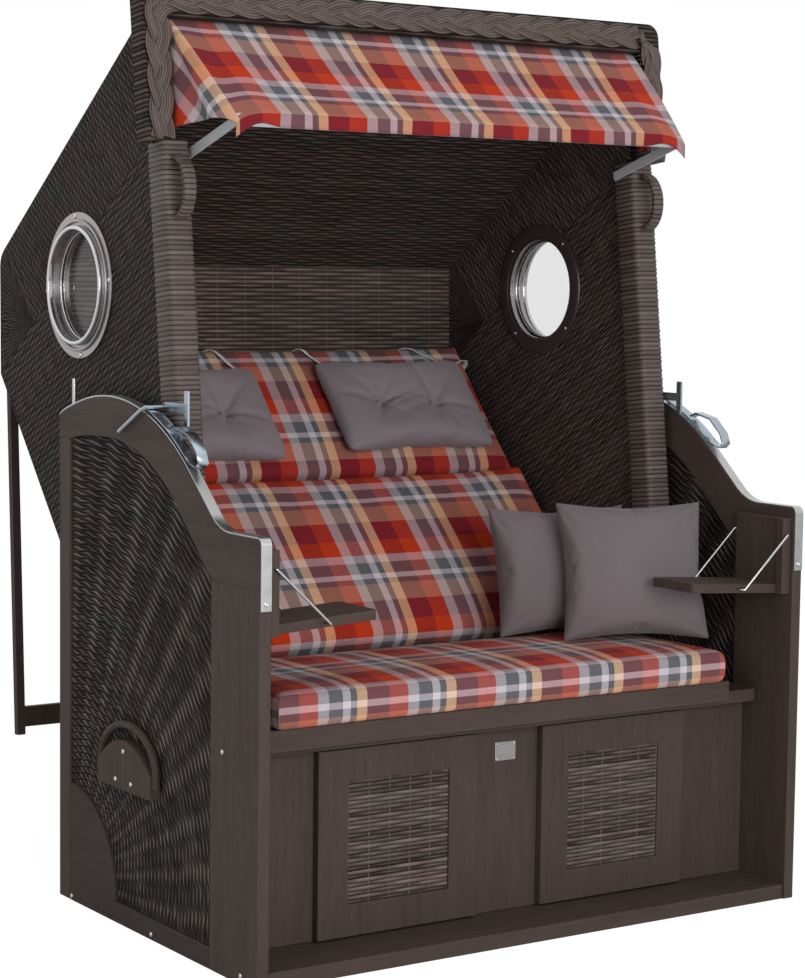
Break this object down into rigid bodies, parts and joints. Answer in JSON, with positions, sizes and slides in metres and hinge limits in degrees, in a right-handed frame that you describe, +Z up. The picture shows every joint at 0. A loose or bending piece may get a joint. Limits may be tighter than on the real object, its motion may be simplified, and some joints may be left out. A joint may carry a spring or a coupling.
{
  "type": "hooded beach chair",
  "caption": "Two-seat wicker beach chair with a tipping hood, pull-out footrests, folding side trays, portholes and a plaid awning.",
  "frame": {"origin": "middle of the footprint of the side panels, on the floor, on the floor board's underside", "axes": "+X to the sitter's left, +Y from the front edge to the rear, +Z up"},
  "size_m": [1.2306, 1.1676, 1.704],
  "materials": {
    "timber": "satin dark mocha stain",
    "wicker": "woven strand, near black brown, satin",
    "aluminium": "polished strip",
    "steel": "bright wire",
    "zinc": "zinc plated",
    "glass": "clear",
    "plaid": "woven plaid of red, maroon, orange, beige, white and grey",
    "grey_fabric": "plain woven grey"
  },
  "bodies": {
    "base": {"front_stile_right": "timber", "rear_stile_right": "timber", "arch_rail_right": "timber", "bottom_rail_right": "timber", "carry_handle_right": "timber", "pivot_upright_right": "timber", "tray_plate_right": "timber", "side_wicker_right": "wicker", "slide_rail_right": "aluminium", "front_stile_left": "timber", "rear_stile_left": "timber", "arch_rail_left": "timber", "bottom_rail_left": "timber", "carry_handle_left": "timber", "pivot_upright_left": "timber", "tray_plate_left": "timber", "side_wicker_left": "wicker", "slide_rail_left": "aluminium", "floor_board": "timber", "front_panel": "timber", "back_board": "timber", "seat_frame": "timber", "seat_deck": "timber", "seat_rail": "timber", "seat_cushion": "plaid", "throw_pillow_front": "grey_fabric", "throw_pillow_rear": "grey_fabric"},
    "hood": {"hood_side_right": "wicker", "porthole_ring_right": "aluminium", "porthole_pane_right": "glass", "grip_loop_right": "wicker", "latch_bracket_right": "zinc", "hood_side_left": "wicker", "porthole_ring_left": "aluminium", "porthole_pane_left": "glass", "grip_loop_left": "wicker", "latch_bracket_left": "zinc", "hood_collar": "wicker", "hood_roof": "wicker", "hood_rear_wall": "wicker", "hood_sloping_back": "wicker", "neck_pillow_left": "grey_fabric", "neck_pillow_right": "grey_fabric", "head_cushion": "plaid", "back_cushion": "plaid", "awning_cloth": "plaid"},
    "support": {"support_frame": "timber"},
    "awning": {"awning_frame": "aluminium"},
    "latch_right": {"latch_strip_right": "zinc"},
    "footrest_right": {"footrest_right": "timber", "footrest_insert_right": "wicker"},
    "tray_right": {"tray_board_right": "timber"},
    "stays_right": {"tray_stay_rear_right": "steel", "tray_stay_front_right": "steel"},
    "latch_left": {"latch_strip_left": "zinc"},
    "footrest_left": {"footrest_left": "timber", "footrest_insert_left": "wicker"},
    "tray_left": {"tray_board_left": "timber"},
    "stays_left": {"tray_stay_rear_left": "steel", "tray_stay_front_left": "steel"}
  },
  "joints": [
    {"name": "hood_recline", "type": "hinge", "parent": "base", "child": "hood", "pos_m": [0, 0.175, 0.501], "axis": [-1, 0, 0], "range_deg": [-7, 36.5]},
    {"name": "support_fold", "type": "hinge", "parent": "hood", "child": "support", "pos_m": [0, 0.77443, 1.00954], "axis": [-1, 0, 0], "range_deg": [-86, 17]},
    {"name": "awning_fold", "type": "hinge", "parent": "hood", "child": "awning", "pos_m": [0, 0.08885, 1.39616], "axis": [-1, 0, 0], "range_deg": [0, 50], "deforming": ["awning_cloth"]},
    {"name": "footrest_slide_right", "type": "slide", "parent": "base", "child": "footrest_right", "axis": [0, -1, 0], "range_m": [0, 0.4]},
    {"name": "tray_fold_right", "type": "hinge", "parent": "base", "child": "tray_right", "pos_m": [0.5626, -0.29, 0.612], "axis": [0, 1, 0], "range_deg": [0, 86]},
    {"name": "stay_fold_right", "type": "hinge", "parent": "base", "child": "stays_right", "pos_m": [0.5654, -0.29, 0.708], "axis": [0, 1, 0], "range_deg": [-48, 0]},
    {"name": "latch_lift_right", "type": "hinge", "parent": "hood", "child": "latch_right", "pos_m": [0.58875, 0.02012, 0.95596], "axis": [-1, 0, 0], "range_deg": [0, 35]},
    {"name": "footrest_slide_left", "type": "slide", "parent": "base", "child": "footrest_left", "axis": [0, -1, 0], "range_m": [0, 0.4]},
    {"name": "tray_fold_left", "type": "hinge", "parent": "base", "child": "tray_left", "pos_m": [-0.5626, -0.29, 0.612], "axis": [0, -1, 0], "range_deg": [0, 86]},
    {"name": "stay_fold_left", "type": "hinge", "parent": "base", "child": "stays_left", "pos_m": [-0.5654, -0.29, 0.708], "axis": [0, -1, 0], "range_deg": [-48, 0]},
    {"name": "latch_lift_left", "type": "hinge", "parent": "hood", "child": "latch_left", "pos_m": [-0.58875, 0.02012, 0.95596], "axis": [-1, 0, 0], "range_deg": [0, 35]}
  ],
  "couplings": [
    {"joint": "support_fold", "follows": "hood_recline", "ratio": -2.33},
    {"joint": "stay_fold_right", "follows": "tray_fold_right", "ratio": -0.55},
    {"joint": "stay_fold_left", "follows": "tray_fold_left", "ratio": -0.55}
  ]
}
